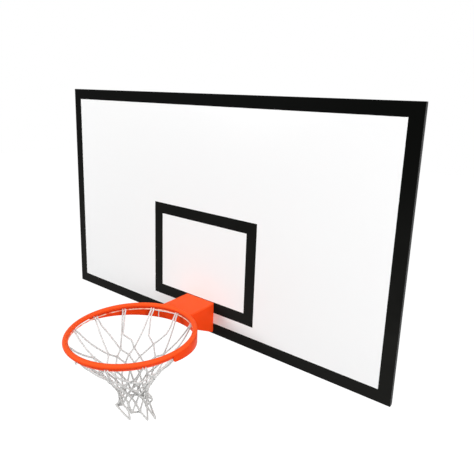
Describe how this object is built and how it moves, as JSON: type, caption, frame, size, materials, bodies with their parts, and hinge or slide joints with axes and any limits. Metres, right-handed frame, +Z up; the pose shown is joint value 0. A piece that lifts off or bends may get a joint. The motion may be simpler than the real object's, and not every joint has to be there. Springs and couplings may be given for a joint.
{
  "type": "basketball backboard",
  "caption": "White rectangular basketball backboard with black border and target lines, a fixed orange ring on a welded bracket, a knotted net and a steel rear frame with fixing lugs.",
  "frame": {"origin": "centre of the four fixing holes, on the rear faces of the fixing lugs, at the middle of the board's width and height", "axes": "+X along the board's width, to the right as a player sees it; +Y out of the back, away from play; +Z up"},
  "size_m": [1.8, 0.687, 1.2525],
  "materials": {
    "white_panel": "plywood faced with white laminate, satin",
    "black_edging": "black plastic edging",
    "black_line": "black self-adhesive film, satin gloss",
    "frame_steel": "galvanised steel",
    "cap_plastic": "black moulded plastic",
    "fastener_steel": "bright zinc plating",
    "ring_orange": "orange powder coat, semi-gloss",
    "net_cord": "braided white cord"
  },
  "bodies": {
    "root": {"board_panel": "white_panel", "edge_band_top": "black_edging", "edge_band_bottom": "black_edging", "edge_band_left": "black_edging", "edge_band_right": "black_edging", "border_line": "black_line", "target_line": "black_line", "frame_top_rail": "frame_steel", "frame_bottom_rail": "frame_steel", "frame_left_stile": "frame_steel", "frame_right_stile": "frame_steel", "frame_left_upright": "frame_steel", "frame_right_upright": "frame_steel", "fixing_lug_lower_left": "frame_steel", "fixing_lug_upper_left": "frame_steel", "fixing_lug_lower_right": "frame_steel", "fixing_lug_upper_right": "frame_steel", "rail_end_caps": "cap_plastic", "frame_screws": "fastener_steel", "ring_backing_plate": "frame_steel", "bolt_sleeves": "fastener_steel", "ring_bolt_washers": "fastener_steel", "ring_bolt_nuts": "fastener_steel", "ring_bolts": "fastener_steel", "ring_bar": "ring_orange", "ring_skirt": "ring_orange", "ring_mount_plate": "ring_orange", "ring_top_plate": "ring_orange", "ring_gusset_left": "ring_orange", "ring_gusset_right": "ring_orange", "net_wire": "ring_orange", "net_tabs": "ring_orange", "net": "net_cord"}
  },
  "joints": []
}
